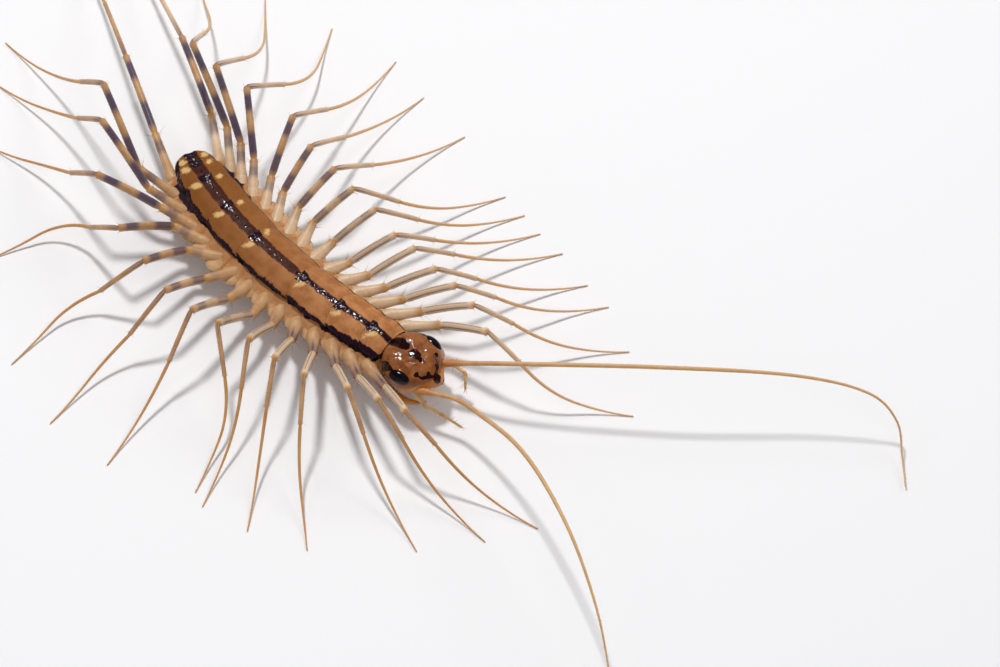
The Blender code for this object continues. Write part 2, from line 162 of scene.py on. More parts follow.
def cuticle(
    name,
    ground,
    mottle,
    tones,
    crisp=0.12,
    fray=0.5,
    roughness=0.3,
    shine=0.3,
    wet=0.0,
    relief=0.02,
    grain=6.0,
    clear=0.0,
    varnish=0.0,
    tail=None,
):
    """A hard skin: mottled ground, three tones with frayed edges, relief and broken gloss.

    tones gives the colours of dark, warm and pale, crisp the half width of a tone's edge and fray
    how far noise eats into it. shine is the strength of the plain reflection, varnish that of a
    clear coat over everything, and wet that of a coat over the dark tone alone. relief is how deep
    the grain is in millimetres, grain how many clouds of it fit in one, and clear the share of
    light that goes into the skin. tail is a colour that the ground turns to behind.
    """
    material = bpy.data.materials.new(name)
    material.use_nodes = True
    links = material.node_tree.links
    sockets = material.node_tree.nodes["Principled BSDF"].inputs
    place = add_node(material, "ShaderNodeTexCoord").outputs["Object"]
    scale = {"Scale": (1 / MM, 1 / MM, 1 / MM)}
    place = add_node(material, "ShaderNodeMapping", None, {"Vector": place, **scale}).outputs["Vector"]

    def clouds(size, detail=3.0):
        cloud = {"Vector": place, "Scale": size, "Detail": detail, "Roughness": 0.6}
        return add_node(material, "ShaderNodeTexNoise", None, cloud).outputs["Fac"]

    wide, fine = clouds(MOTTLES), clouds(grain)
    colour = mix_colour(material, ramp(material, wide, 0.35, 0.65), (*ground, 1.0), (*mottle, 1.0))
    if tail:
        split = add_node(material, "ShaderNodeSeparateXYZ", None, {"Vector": place})
        behind = ramp(material, combined(material, split.outputs["Y"], wide), TAIL_FROM, TAIL_TO)
        colour = mix_colour(material, behind, colour, (*tail, 1.0))
    colour = mix_colour(material, ramp(material, fine, 0.55, 0.8, 0.0, 0.35), colour, (*mottle, 1.0))
    uneven = combined(material, combined(material, fine, clouds(grain * 0.4)), -1.0)
    frayed = combined(material, uneven, fray, "MULTIPLY")
    amounts = {}
    for tone, paint in zip(reversed(TONES), reversed(tones)):
        amount = add_node(material, "ShaderNodeAttribute", {"attribute_name": tone}).outputs["Fac"]
        near_edge = combined(material, amount, 0.5, "PINGPONG")
        frayed_amount = combined(material, amount, combined(material, frayed, near_edge, "MULTIPLY"))
        amounts[tone] = ramp(material, frayed_amount, 0.5 - crisp, 0.5 + crisp)
        colour = mix_colour(material, amounts[tone], colour, (*paint, 1.0))
    links.new(colour, sockets["Base Color"])
    rough = ramp(material, clouds(grain * 0.7), 0.3, 0.7, roughness * 0.7, roughness * 1.4)
    sockets["Coat Weight"].default_value = varnish
    if wet:
        wet_spots = combined(material, amounts["dark"], wet, "MULTIPLY")
        rough = combined(material, rough, combined(material, 1.0, wet_spots, "SUBTRACT"), "MULTIPLY")
        coat = combined(material, varnish, wet_spots, "MAXIMUM")
        links.new(coat, sockets["Coat Weight"])
    links.new(rough, sockets["Roughness"])
    dimples = combined(material, clouds(grain * 4), DIMPLES, "MULTIPLY")
    swells = combined(material, fine, clouds(grain * 0.3, 2.0), "MULTIPLY")
    height = combined(material, swells, dimples)
    bumps = {"Strength": BUMP_STRENGTH, "Distance": relief * MM, "Height": height}
    normal = add_node(material, "ShaderNodeBump", None, bumps).outputs["Normal"]
    links.new(normal, sockets["Normal"])
    sockets["Subsurface Weight"].default_value = clear
    sockets["Subsurface Radius"].default_value = SKIN_SPREAD
    sockets["Subsurface Scale"].default_value = SKIN_DEPTH * MM
    sockets["Specular IOR Level"].default_value = shine
    sockets["Coat Roughness"].default_value = COAT_ROUGHNESS
    return material


# %% The finishes
BLACK_VIOLET = (0.018, 0.006, 0.012)
MAROON = (0.050, 0.011, 0.005)
CREAM = (0.66, 0.42, 0.17)

plate_finish = cuticle(
    "plate_cuticle", (0.49, 0.212, 0.083), (0.36, 0.138, 0.046), (BLACK_VIOLET, MAROON, CREAM),
    crisp=0.2, fray=0.9, roughness=0.5, shine=0.12, wet=0.7, relief=0.05, clear=0.08,
    tail=(0.22, 0.078, 0.017),
)
head_finish = cuticle(
    "head_cuticle", (0.30, 0.108, 0.034), (0.20, 0.06, 0.017),
    ((0.016, 0.003, 0.003), (0.50, 0.18, 0.028), (0.66, 0.44, 0.22)),
    fray=0.8, roughness=0.5, shine=0.1, wet=0.8, relief=0.05, grain=5.0, clear=0.05, varnish=0.8,
)
flank_finish = cuticle(
    "flank_membrane", (0.47, 0.225, 0.09), (0.39, 0.17, 0.06),
    (BLACK_VIOLET, (0.40, 0.17, 0.055), (0.60, 0.36, 0.185)),
    fray=0.8, roughness=0.5, shine=0.25, clear=0.25,
)
leg_finish = cuticle(
    "leg_cuticle", (0.53, 0.315, 0.155), (0.46, 0.25, 0.11),
    ((0.080, 0.060, 0.105), (0.56, 0.29, 0.075), (0.73, 0.55, 0.38)),
    crisp=0.45, fray=0.5, roughness=0.36, relief=0.012, grain=9.0, clear=0.25,
)
feeler_finish = cuticle(
    "feeler_cuticle", (0.58, 0.34, 0.16), (0.50, 0.27, 0.11),
    ((0.05, 0.03, 0.03), (0.48, 0.19, 0.055), (0.66, 0.44, 0.21)),
    crisp=0.45, roughness=0.36, relief=0.012, grain=9.0, clear=0.15,
)
eye_finish = cuticle(
    "eye_cornea", (0.004, 0.003, 0.005), (0.007, 0.005, 0.008),
    ((0.004, 0.003, 0.004), (0.06, 0.025, 0.012), (0.05, 0.05, 0.055)),
    roughness=0.1, shine=0.25, relief=0.004, grain=14.0,
)
bristle_finish = cuticle(
    "bristle_horn", (0.46, 0.24, 0.08), (0.34, 0.15, 0.045), (BLACK_VIOLET, MAROON, CREAM),
    roughness=0.3, relief=0.004,
)
print("finishes:", len(bpy.data.materials))

# %% [markdown]
# ## The body's own measure
#
# The body bends a little, so places on it are read the way a naturalist would: so far behind the
# front of the head along the back, so far out to the left, so high above the floor. One function
# turns such a reading into a point. It could be a curve object that everything is bound to, but
# a function is exact, and every later piece can use it for its shape and its markings alike.

# %% The axis of the body
HEAD_FRONT = (-0.269, -17.554)
HEAD_HEADING = -9.0
NECK_HEADING = -11.0
TAIL_TURN = 32.0
NECK_AT = 4.9
TAIL_AT = 30.5
AXIS_STEP = 0.1
AXIS_STEPS = 310
TAIL_BEND = 1.5


def between(x, places, values):
    """Straight-line reading of values at places, held at both ends."""
    if x <= places[0]:
        return values[0]
    for left, right, low, high in zip(places, places[1:], values, values[1:]):
        if x <= right:
            return low + (high - low) * (x - left) / (right - left)
    return values[-1]


def heading(back):
    """Direction of the body's axis, in radians from +Y towards +X."""
    if back < NECK_AT:
        return math.radians(HEAD_HEADING)
    along = (back - NECK_AT) / (TAIL_AT - NECK_AT)
    return math.radians(NECK_HEADING + TAIL_TURN * along**TAIL_BEND)


def trace_axis():
    points = [Vector((*HEAD_FRONT, 0.0))]
    for i in range(AXIS_STEPS):
        turn = heading((i + 0.5) * AXIS_STEP)
        points.append(points[-1] + Vector((math.sin(turn), math.cos(turn), 0.0)) * AXIS_STEP)
    return points


AXIS = trace_axis()


def body_place(back, out, up):
    """The point at a distance back from the nose, out to the left and up from the floor."""
    i = min(max(back / AXIS_STEP, 0.0), len(AXIS) - 2)
    whole = int(i)
    turn = heading(back)
    on_axis = AXIS[whole].lerp(AXIS[whole + 1], i - whole) if back > 0 else AXIS[0].copy()
    on_axis += Vector((math.sin(turn), math.cos(turn), 0.0)) * min(back, 0.0)
    return on_axis + Vector((math.cos(turn) * out, -math.sin(turn) * out, up))


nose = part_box("head")[0].y / MM
print("nose here and in the solids, mm:", round(body_place(-0.1, 0, 0).y, 2), round(nose, 2))

# %% [markdown]
# ## Making and finishing a piece
#
# Most of the animal is round bars that change thickness: legs, feelers, claws, the trunk itself.
# A bar could be a curve with a bevel, but then its rings, ridges and markings are out of reach.
# So a flat sheet is rolled up round a line: every point of the sheet knows how far along and how
# far round it is, and gets its thickness and its tones from that.

# %% Finish a piece
def finish(name, bm, materials, replaced):
    """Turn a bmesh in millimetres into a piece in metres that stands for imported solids."""
    bmesh.ops.recalc_face_normals(bm, faces=bm.faces)
    bmesh.ops.scale(bm, vec=(MM, MM, MM), verts=bm.verts)
    mesh = bpy.data.meshes.new(name)
    bm.to_mesh(mesh)
    bm.free()
    for material in materials:
        mesh.materials.append(material)
    mesh.shade_smooth()
    piece = add_object(name, mesh)
    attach(piece, "root")
    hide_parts(*replaced)
    return piece


def report(what, pieces):
    print(what, len(pieces), "pieces,", sum(len(p.data.polygons) for p in pieces), "faces")


# %% A sheet rolled into a skin
def amount(distance, edge=0.2):
    """How much of a tone lies at a distance from its edge: 0 outside, 1 inside (below zero)."""
    return min(max(0.5 - distance / (2 * edge), 0.0), 1.0)


def hump(x, middle, half):
    """A smooth hill of height 1 round a middle, down to about a third at half to either side."""
    return math.exp(-(((x - middle) / half) ** 2))


def wobble(x, y, z):
    """Smooth noise, from about -1 to 1."""
    return noise.noise(Vector((x, y, z)))


def blob(back, out, centre_back, centre_out, half_back, half_out):
    """Below zero inside an oval, about in millimetres near its edge."""
    size = min(half_back, half_out)
    return (math.hypot((back - centre_back) / half_back, (out - centre_out) / half_out) - 1.0) * size


def shape_points(bm, place):
    """Move every point of a sheet or ball to where place puts it, and give it its tones."""
    layers = [bm.verts.layers.float.new(tone) for tone in TONES]
    for vert in bm.verts:
        vert.co, tones = place(vert.co.copy())
        for layer, value in zip(layers, tones):
            vert[layer] = value


def roll(lengthwise, around, place):
    """Roll a sheet round a line and close both ends. place takes along and turn, 0 to 1."""
    bm = bmesh.new()
    bmesh.ops.create_grid(bm, x_segments=lengthwise, y_segments=around, size=1.0)
    shape_points(bm, lambda co: place((co.x + 1) / 2, (co.y + 1) / 2))
    bmesh.ops.remove_doubles(bm, verts=bm.verts, dist=1e-5)
    bmesh.ops.holes_fill(bm, edges=[e for e in bm.edges if e.is_boundary], sides=0)
    return bm


def ball(splits, place):
    """Press a ball of small triangles into shape. place takes a point of a ball of radius 1."""
    bm = bmesh.new()
    bmesh.ops.create_icosphere(bm, subdivisions=splits, radius=1.0)
    shape_points(bm, place)
    return bm


# %% A line with rounded corners
CORNER_WEIGHTS = ((-1.0, 1), (-0.5, 2), (0.0, 2), (0.5, 2), (1.0, 1))
CORNER_TOTAL = sum(weight for step, weight in CORNER_WEIGHTS)
CURVE_SPLIT = 12
LOOK_AHEAD = 0.04
BRISTLE_MIDDLE = 0.42
BRISTLE_TIP = 0.15


def running(points):
    """Length from the start to each point of a line."""
    run = [0.0]
    for p, q in zip(points, points[1:]):
        run.append(run[-1] + (q - p).length)
    return run


def rounded(points, corner):
    """A function that gives the place on a line at a length from its start, corners rounded off."""
    run = running(points)
    before = (points[0] - points[1]).normalized()
    after = (points[-1] - points[-2]).normalized()

    def on_line(s):
        if s <= 0.0:
            return points[0] - before * s
        if s >= run[-1]:
            return points[-1] + after * (s - run[-1])
        for i in range(1, len(run)):
            if s <= run[i]:
                return points[i - 1].lerp(points[i], (s - run[i - 1]) / (run[i] - run[i - 1]))

    def place(s):
        soft = Vector()
        for step, weight in CORNER_WEIGHTS:
            soft += on_line(s + step * corner) * weight
        return soft / CORNER_TOTAL

    return place


def smooth_path(points, steps):
    """Evenly spread points of a smooth curve through control points (Catmull-Rom)."""
    knots = [Vector(p) for p in points]
    knots = [2 * knots[0] - knots[1], *knots, 2 * knots[-1] - knots[-2]]
    dense = []
    for a, b, c, d in zip(knots, knots[1:], knots[2:], knots[3:]):
        for i in range(CURVE_SPLIT):
            t = i / CURVE_SPLIT
            bend = (2 * a - 5 * b + 4 * c - d) * t * t
            swing = (3 * b - a - 3 * c + d) * t**3
            dense.append(0.5 * (2 * b + (c - a) * t + bend + swing))
    dense.append(knots[-2])
    place = rounded(dense, 0.0)
    length = running(dense)[-1]
    return [place(length * i / steps) for i in range(steps + 1)]


def wrap(line, lengths, sides, section):
    """Roll a sheet round a line, with a ring at each of the lengths.

    section takes the length and the turn (0 underneath, a half on top) and gives the ring's half
    width, its half height and the tones there.
    """
    rings = []
    for s in lengths:
        forward = (line(s + LOOK_AHEAD) - line(s - LOOK_AHEAD)).normalized()
        out = forward.cross(Vector((0, 0, 1))).normalized()
        rings.append((s, line(s), out, out.cross(forward)))

    def place(along, turn):
        s, centre, out, up = rings[round(along * (len(rings) - 1))]
        wide, high, tones = section(s, turn)
        angle = 2 * math.pi * turn
        return centre + out * (math.sin(angle) * wide) - up * (math.cos(angle) * high), tones

    return roll(len(rings) - 1, sides, place)


def bristle(bm, root, direction, length, radius):
    """One stiff hair: a four-sided needle with its root sunk into the skin."""
    lean = direction.to_track_quat("Z", "Y").to_matrix().to_4x4()
    middle = Matrix.Translation(root + direction.normalized() * (length * BRISTLE_MIDDLE))
    made = bmesh.ops.create_cone(
        bm,
        cap_ends=True,
        segments=4,
        radius1=radius,
        radius2=radius * BRISTLE_TIP,
        depth=length,
        matrix=middle @ lean,
    )
    for face in {face for vert in made["verts"] for face in vert.link_faces}:
        face.material_index = 1


def standing_off(line, s, turn, behind=0.0, ahead=0.1):
    """Where a line runs to at a place, and a direction that stands off it there."""
    forward = (line(s + ahead) - line(s - behind)).normalized()
    aside = forward.cross(Vector((0, 0, 1))).normalized()
    return forward, aside * math.cos(turn) + forward.cross(aside) * math.sin(turn)


# %% [markdown]
# ## Trunk
#
# Under the back plates lies the soft trunk: pale leathery flanks with a rounded lobe at the root
# of every leg, and a plain belly. It could be one tube for each ring of the body, but the real
# skin has no seams, so it is one sheet rolled up once, from the neck to the tail. Its section is
# a rounded box that fills the room under the plates. A dark jagged band runs along each flank
# just below the plates' edges.

# %% Sizes of the trunk
BACK_UP_AT = (4.0, 9.0, 14.0, 22.0, 26.0, 29.5)
BACK_UP = (4.6, 4.75, 4.9, 4.85, 4.6, 3.95)
TRUNK_START = 3.6
TRUNK_END = 28.8
TRUNK_AT = (3.6, 4.4, 8.0, 12.0, 20.0, 25.0, 27.4, 28.4, 28.8)
TRUNK_HALF = (1.0, 1.45, 1.72, 1.8, 2.0, 1.95, 1.6, 1.0, 0.4)
FLANK_REACH = (1.4, 2.6, 2.95, 3.3, 3.9, 3.8, 2.9, 1.6, 0.5)
BELLY_UP_AT = (3.6, 5.0, 26.0, 28.8)
BELLY_UP = (2.3, 1.75, 1.75, 2.7)
FIRST_LEG_AT = 5.4
LEG_STEP = 1.6
LEG_UP = 2.95
PAIRS = 15
PLATE_ARCH = 0.95
ARCH_HALF = 2.15
NECK_DROP = 0.8
BAND_BELOW = 1.08
BAND_HALF = 0.13
BAND_START = 4.4
BAND_END = 27.0
FLANK_HAIRS = 900


def back_up(back):
    return between(back, BACK_UP_AT, BACK_UP)


def lobe_at(back):
    """How far the flank swells: 1 at the root of a leg, less between two, 0 before and behind."""
    u = (back - FIRST_LEG_AT) / LEG_STEP
    off = abs(u - round(u)) * 2
    fade = amount(-0.6 - u, 0.25) * amount(u - (PAIRS - 0.5), 0.3)
    return fade * (0.65 + 0.35 * math.sqrt(max(1.0 - off * off, 0.0)))


# %% The trunk skin
def trunk_place(along, turn):
    back = TRUNK_START + (TRUNK_END - TRUNK_START) * along
    angle = 2 * math.pi * turn
    sideways, upward = math.sin(angle), -math.cos(angle)
    half = between(back, TRUNK_AT, TRUNK_HALF)
    top = back_up(back) - 0.3 - NECK_DROP * amount(back - NECK_AT, 0.3)
    belly = between(back, BELLY_UP_AT, BELLY_UP)
    middle, half_height = (top + belly) / 2, (top - belly) / 2
    square = 0.55 if upward > 0 else 0.8
    out = math.copysign(abs(sideways) ** square, sideways) * half
    up = middle + math.copysign(abs(upward) ** 0.75, upward) * half_height
    if upward > 0:
        up -= PLATE_ARCH * (out / ARCH_HALF) ** 2
    side = math.copysign(1.0, sideways)
    lobe = lobe_at(back) * hump(up, LEG_UP - 0.1, 0.66)
    out += side * (between(back, TRUNK_AT, FLANK_REACH) - half) * lobe
    belly_plate = hump(out, 0.0, 0.9) * (1.0 if upward < -0.7 else 0.0) * lobe_at(back)
    up -= 0.08 * belly_plate
    wrinkle = wobble(back * 2.2, out * 1.5, up * 3.0)
    out += side * 0.05 * wrinkle
    band_up = back_up(back) - BAND_BELOW
    jag = 0.12 * wobble(back * 1.2, side * 9.0, 0.0)
    jag += 0.06 * wobble(back * 4.0, side, 5.0)
    dark = amount(abs(up - band_up) - BAND_HALF - jag, 0.1) if BAND_START < back < BAND_END else 0.0
    in_creases = 0.6 * amount(lobe_at(back) - 0.6, 0.2) * amount(up - 3.3, 0.3)
    warm = amount(abs(up - 2.2) - 0.5, 0.5) * 0.4 + in_creases
    return body_place(back, out, up), (dark, warm, 0.8 * lobe)


def flank_hairs(bm):
    """Short pale hairs over the swollen flanks."""
    draw = random.Random("flank")
    bm.normal_update()
    roots = [(v.co.copy(), v.normal.copy()) for v in bm.verts if 2.3 < v.co.z < 3.7]
    for root, outward in draw.sample(roots, FLANK_HAIRS):
        if abs(outward.z) < 0.9:
            lean = outward + Vector((0.0, draw.uniform(-0.4, 0.8), draw.uniform(-0.2, 0.5)))
            bristle(bm, root, lean, draw.uniform(0.15, 0.4), 0.009)


trunk_mesh = roll(360, 84, trunk_place)
flank_hairs(trunk_mesh)
trunk = finish(
    "trunk_skin",
    trunk_mesh,
    [flank_finish, bristle_finish],
    ["trunk_front", "trunk_middle", "trunk_rear"],
)
report("trunk:", [trunk])

# %% [markdown]
# ## Back plates
#
# Seven large plates and a small last one roof the body. Each is a thin arched shell with its rim
# turned down, rounded rear corners and a notch in the middle of its hind edge, where the breathing
# slit opens under a little black saddle. A plate could be cut from one long shell, but the real
# ones overlap like tiles, so each is its own sheet, rolled flat upon itself to give it a wall.

# %% Sizes of the plates
PLATES = (
    (4.75, 6.9, 1.85),
    (7.2, 10.0, 1.95),
    (10.3, 13.8, 2.0),
    (14.1, 19.1, 2.1),
    (19.4, 22.8, 2.2),
    (23.1, 26.1, 2.15),
    (26.4, 28.0, 1.9),
    (28.3, 28.95, 1.4),
)
PLATE_MIDDLES = [(start + end) / 2 for start, end, half in PLATES]
PLATE_HALVES = [half for start, end, half in PLATES]
TUCK = 0.75
PLATE_WALL = 0.05
NOTCH = 0.2
NOTCH_HALF = 0.2
CORNER = 0.3
RIM_DROP = 0.15
PLATE_RING = 0.06
PLATE_AROUND = 190
FIRST_SUNK = 0.36
SUNK = 0.13

# Markings of the plates: half widths at places along the body, or before a plate's hind edge
STRIPE_AT = (6.0, 13.8, 14.2, 20.0, 24.0)
STRIPE_HALF = (0.25, 0.25, 0.36, 0.45, 0.52)
CORE_AT = (6.0, 13.8, 14.2, 21.0)
CORE_HALF = (0.17, 0.17, 0.0, 0.05)
SADDLE_AT = (0.0, 0.5, 0.8, 1.1)
SADDLE_HALF = (0.55, 0.50, 0.26, 0.0)
RIM_AT = (5.0, 8.0, 14.0, 20.0, 25.0)
RIM_WIDE = (0.36, 0.22, 0.10, 0.12, 0.26)
LEFT_RIM_WIDE = 0.14
SPOT_BEFORE = 0.62
SPOT_LEAN = (0.67, 0.74)
SPOT_AT = (7.0, 14.0, 23.0)
SPOT_OUT = (0.72, 0.76, 1.0)
SPOT_LENGTH = (0.5, 0.5, 0.46)
SPOT_BREADTH = (0.19, 0.19, 0.28)
RIGHT_SPOT = 0.9
LEFT_SPOT_AT = (14.0, 19.0)
LEFT_SPOT = (0.42, 0.75)


# %% One back plate
def plate_tones(end, back, out, along, to_edge):
    """Median stripe, black saddle over the slit, frayed cream streaks beside it, dark side rims."""
    ragged = 0.07 * wobble(back * 1.8, out * 1.5, 3.0)
    ragged += 0.06 * wobble(back * 5, out * 5, 9.0)
    middle = abs(out + 0.05)
    stripe = amount(middle - between(back, STRIPE_AT, STRIPE_HALF) - ragged, 0.18)
    saddle = middle - between(end - back, SADDLE_AT, SADDLE_HALF) - ragged
    core = middle - between(back, CORE_AT, CORE_HALF) - 1.8 * ragged
    rim_wide = LEFT_RIM_WIDE
    if out < 0:
        rim_wide = between(back, RIM_AT, RIM_WIDE) + 0.12 * math.sin(math.pi * along)
    rim = to_edge - rim_wide - 1.4 * ragged - 0.12 * wobble(back * 0.9, out, 6.0)
    dark = max(amount(core, 0.1), amount(saddle, 0.08), amount(rim, 0.12))
    behind, beyond = back - end + SPOT_BEFORE, abs(out) - between(end, SPOT_AT, SPOT_OUT)
    breadth = between(end, SPOT_AT, SPOT_BREADTH)
    lengthwise = (SPOT_LEAN[0] * behind + SPOT_LEAN[1] * beyond) / between(end, SPOT_AT, SPOT_LENGTH)
    crosswise = (SPOT_LEAN[0] * beyond - SPOT_LEAN[1] * behind) / breadth
    spot = (math.hypot(lengthwise, crosswise) - 1) * breadth
    strength = RIGHT_SPOT if out < 0 else between(end, LEFT_SPOT_AT, LEFT_SPOT)
    return dark, stripe, amount(spot + 1.4 * ragged, 0.24) * strength


def plate_piece(number, start, end):
    sunk = FIRST_SUNK if number == 1 else SUNK
    tuck = TUCK if number > 1 else 0.0

    def place(along, turn):
        across, above = -math.cos(2 * math.pi * turn), turn <= 0.5
        notch = NOTCH * hump(across, 0.0, NOTCH_HALF)
        corner = CORNER * across**2
        front = start - tuck
        back = front + (end - front - notch - corner) * along
        wide = between(back, PLATE_MIDDLES, PLATE_HALVES)
        wide *= 0.96 + 0.04 * math.sin(math.pi * along) - 0.07 * along**6
        out = across * wide
        to_edge = wide - abs(out)
        to_rear = (1 - along) * (end - front)
        up = back_up(back) - PLATE_ARCH * (out / ARCH_HALF) ** 2
        up -= RIM_DROP * amount(to_edge - 0.12, 0.25) ** 2
        up -= sunk * amount(along * (end - front) - 0.45, 0.35)
        up += 0.015 * hump(to_rear, 0.3, 0.25)
        up += 0.08 * hump(back, end - 0.75, 0.45) * hump(out, 0.0, 0.34)
        up -= 0.03 * hump(abs(out), wide * 0.72, 0.2)
        up += 0.03 * wobble(back * 1.3, out * 1.3, number)
        dark, warm, pale = plate_tones(end, back, out, along, to_edge)
        if above:
            beads = 0.035 + 0.045 * amount(abs(out) - 0.9, 0.3)
            up += beads * dark * wobble(back * 6.5, out * 6.5, 2.0)
        else:
            wall = PLATE_WALL * between(along, (0.0, 0.03, 0.97, 1.0), (0.0, 1.0, 1.0, 0.0))
            up -= wall * min(1.0, to_edge / 0.08)
        return body_place(back, out, up), (dark, warm, pale)

    bm = roll(round((end - start + tuck) / PLATE_RING), PLATE_AROUND, place)
    name = f"plate_{number}"
    return finish(name, bm, [plate_finish], [f"tergite_{number}"])


plates = [plate_piece(number, start, end) for number, (start, end, half) in enumerate(PLATES, 1)]
report("back plates:", plates)

# %% [markdown]
# ## Head
#
# The head is a low dome of hard, very glossy skin. Two swollen lobes stand at its back, a seam
# runs forward from the eyes in a shallow V, and a smooth shield lies in front of it. It could be
# sculpted by hand. Here a ball of small triangles is pressed into the dome, and each feature is
# a hill or a furrow added at its measured place, so that shape and markings stay together.

# %% Sizes of the head
HEAD_HALF = (2.35, 2.55, 1.35)
HEAD_BACK = 2.45
HEAD_UP = 3.4
LOBE_RISE = 0.25
SNOUT_TAPER = 0.62
SNOUT_POWER = 2.6
EYE_HALF = (0.54, 0.95, 0.56)
EYE_PLACE = (2.42, 1.85, 3.8)
EYE_TOE_IN = 5.0
SEAM = ((2.55, 1.5), (2.5, 1.0), (2.07, 0.62), (1.72, 0.0))
CHEVRON = ((0.3, 0.0), (0.62, 0.42), (0.92, 0.9), (1.38, 1.12))
CHEVRON_HALF = 0.1

# Dark blotches: back, out, half length, half width
MIDDLE_BLOTCHES = (
    (4.0, 0.06, 0.95, 0.5),
    (4.9, 0.0, 0.6, 0.32),
    (2.4, -0.08, 0.52, 0.40),
    (1.85, -0.10, 0.42, 0.17),
    (0.25, -0.12, 0.26, 0.3),
)
SIDE_BLOTCHES = ((0.75, 0.45, 0.16, 0.15), (1.35, 1.15, 0.15, 0.15), (3.9, 1.95, 0.9, 0.27))


def to_line(back, out, line):
    """Distance in plan from a place on the head to a line that is the same on both sides."""
    spot = Vector((back, abs(out)))
    best = 9.0
    for a, b in zip(line, line[1:]):
        a, b = Vector(a), Vector(b)
        share = min(max((spot - a).dot(b - a) / (b - a).length_squared, 0.0), 1.0)
        best = min(best, (spot - a.lerp(b, share)).length)
    return best


# %% Shape and markings of the head
def head_place(co):
    x, y, z = co
    forward, behind = max(-y, 0.0), max(y, 0.0)
    out = x * HEAD_HALF[0] * (1.0 - SNOUT_TAPER * forward**SNOUT_POWER + 0.25 * behind * (1.0 - behind))
    back = HEAD_BACK + y * HEAD_HALF[1]
    full = math.copysign(abs(z) ** (1.0 - 0.4 * behind), z)
    up = HEAD_UP + full * HEAD_HALF[2] * (1.0 - 0.18 * forward) - 0.4 * forward**2
    above = min(max(z * 2.0, 0.0), 1.0)
    side = abs(out)
    relief = LOBE_RISE * hump(back, 3.8, 0.9) * hump(side, 1.0, 0.8)
    relief -= 0.18 * hump(side, 0.0, 0.22) * amount(3.1 - back, 0.3)
    relief -= 0.11 * hump(to_line(back, out, SEAM), 0.0, 0.13)
    relief += 0.07 * hump(back, 1.2, 0.7) * hump(side, 0.0, 0.7)
    relief -= 0.06 * hump(to_line(back, out, CHEVRON), 0.0, 0.12)
    relief += 0.055 * wobble(back * 2.2, out * 2.2, 1.0)
    relief += 0.024 * wobble(back * 6.0, out * 6.0, 4.0)
    relief += 0.06 * hump(blob(back, side, EYE_PLACE[0], EYE_PLACE[1] - 0.1, 1.0, 0.62), 0.0, 0.14)
    up += relief * above
    cheek = hump(back, 1.6, 0.55) * hump(up, 2.95, 0.45) * amount(1.2 - side, 0.4)
    out += math.copysign(0.3, out) * cheek
    up += 0.10 * hump(back, 0.25, 0.3) * hump(up, 2.9, 0.25)
    ragged = 0.1 * wobble(back * 3.2, out * 3.2, 7.0)
    ragged += 0.05 * wobble(back * 8, out * 8, 3.0)
    marks = [to_line(back, out + 0.1, CHEVRON) - CHEVRON_HALF]
    marks += [blob(back, out, *blotch) for blotch in MIDDLE_BLOTCHES]
    marks += [blob(back, side, *blotch) for blotch in SIDE_BLOTCHES]
    dark = amount(min(marks) + 0.8 * ragged, 0.09) if z > -0.3 else 0.0
    warm = amount(up - 3.5 + 0.25 * (back - 1.0), 0.3) if back < 2.4 else 0.0
    return body_place(back, out, up), (dark, warm, cheek)


head = finish("head_capsule", ball(7, head_place), [head_finish], ["head"])
report("head:", [head])

# %% [markdown]
# ## Eyes
#
# House centipedes are rare among centipedes in having compound eyes, two black ovals of some two
# hundred tiny lenses set in the sides of the head. They are balls pressed to the measured oval
# and turned a little inward, each with a very fine grain over it.

# %% Eyes
def eye_piece(word, side):
    spin = -(heading(0.0) + math.radians(side * EYE_TOE_IN))
    centre = body_place(EYE_PLACE[0], side * EYE_PLACE[1], EYE_PLACE[2])
    cosine, sine = math.cos(spin), math.sin(spin)

    def place(co):
        x, y, z = (c * h for c, h in zip(co, EYE_HALF))
        return centre + Vector((x * cosine - y * sine, x * sine + y * cosine, z)), (0.0, 0.0, 0.0)

    name = "eye_" + word
    return finish(name + "_facets", ball(5, place), [eye_finish], [name])


eyes = [eye_piece("left", 1), eye_piece("right", -1)]
report("eyes:", eyes)

# %% [markdown]
# ## Feelers
#
# The two antennae are whips of hundreds of short rings, reddish at the root and tan beyond. Each
# is a sheet rolled round a smooth line, its thickness swelling and pinching once for every ring,
# with fine hairs standing off it. The two palps beside the mouth have longer, fewer joints and
# long fine spines.

# %% Antennae
ANTENNA_LEFT = (
    (0.831, -16.454, 3.4),
    (4.231, -20.954, 4.85),
    (11.731, -28.754, 5.5),
    (18.531, -35.354, 5.0),
    (22.131, -39.754, 4.0),
    (22.931, -42.254, 2.2),
    (21.831, -44.054, 0.7),
    (20.231, -46.054, 0.3),
)
ANTENNA_RIGHT = (
    (-2.069, -16.654, 3.0),
    (-1.219, -18.354, 3.35),
    (-0.569, -19.854, 3.6),
    (-0.419, -22.854, 4.2),
    (-0.769, -26.454, 5.3),
    (-1.769, -30.454, 6.0),
    (-3.469, -35.454, 5.9),
    (-5.669, -40.454, 4.4),
    (-7.869, -44.254, 2.2),
)
RING = 0.16
ANTENNA_AT = (0.0, 0.03, 0.06, 0.5, 1.0)
ANTENNA_THICK = (0.25, 0.225, 0.185, 0.155, 0.06)
ANTENNA_HAIRS = 170
ROOT_SPINES = 14


